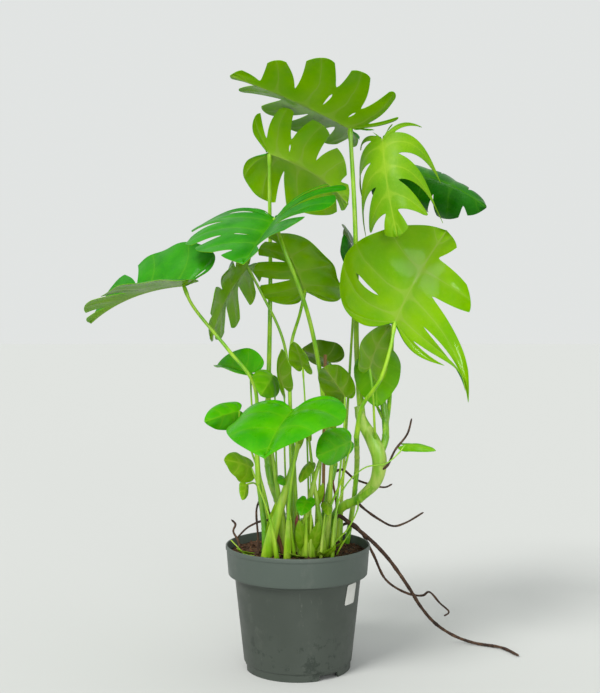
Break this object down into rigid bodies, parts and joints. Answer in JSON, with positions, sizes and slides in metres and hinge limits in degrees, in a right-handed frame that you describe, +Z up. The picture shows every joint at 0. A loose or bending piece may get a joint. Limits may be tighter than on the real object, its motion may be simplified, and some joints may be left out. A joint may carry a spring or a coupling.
{
  "type": "potted monstera plant",
  "caption": "Tall split-leaf plant with long stalks and aerial roots, growing in peaty soil in a grey nursery pot with a bare white label.",
  "frame": {"origin": "middle of the pot's foot, on the surface the pot stands on", "axes": "+Z up along the pot's axis; +X to the right and +Y away from the viewer who sees the front heart-shaped leaf"},
  "size_m": [0.8317, 0.4232, 1.105],
  "materials": {
    "leaf_green": "glossy fresh green leaf, paler underneath",
    "leaf_pale": "young lime-green leaf, soft satin",
    "stem_green": "smooth juicy green stem, satin",
    "root_brown": "dull brown corky root",
    "bamboo": "dry bamboo cane",
    "peat": "loose brown peat with bark and fibres",
    "pot_grey": "grey-green injection-moulded plastic, slightly scuffed",
    "label_white": "plain white paper label, left bare"
  },
  "bodies": {
    "root": {"pot": "pot_grey", "soil": "peat", "stake": "bamboo", "stem_left": "stem_green", "stem_left_sheath": "stem_green", "stem_trunk": "stem_green", "stem_trunk_branch": "stem_green", "stem_right": "stem_green", "stem_middle": "stem_green", "stem_crown": "stem_green", "old_petiole": "root_brown", "dry_stalk": "root_brown", "tendril": "stem_green", "root_long": "root_brown", "root_over_rim": "root_brown", "root_right_low": "root_brown", "root_right_high": "root_brown", "root_upward": "root_brown", "root_left_hook": "root_brown", "root_left_rim": "root_brown", "root_left_down": "root_brown", "leaf_top": "leaf_green", "leaf_upper_left": "leaf_green", "leaf_hanging_pale": "leaf_pale", "leaf_glossy_right": "leaf_green", "leaf_middle_left": "leaf_green", "leaf_centre": "leaf_green", "leaf_hanging_left": "leaf_green", "leaf_far_left": "leaf_green", "leaf_big_right": "leaf_green", "leaf_behind_right": "leaf_green", "leaf_olive_right": "leaf_green", "leaf_lower_right": "leaf_green", "leaf_front_heart": "leaf_green", "leaf_front_right": "leaf_green", "leaf_left_point": "leaf_green", "leaf_left_upper": "leaf_green", "leaf_left_small": "leaf_green", "leaf_middle_point": "leaf_green", "leaf_middle_small": "leaf_green", "leaf_round_right": "leaf_green", "leaf_middle_dark": "leaf_green", "leaf_left_low": "leaf_pale", "leaf_left_lowest": "leaf_pale", "leaf_right_narrow": "leaf_green", "leaf_centre_low": "leaf_green", "leaf_tiny_left": "leaf_green", "leaf_lance": "leaf_pale", "leaf_yellowing": "leaf_pale", "label": "label_white"}
  },
  "joints": []
}
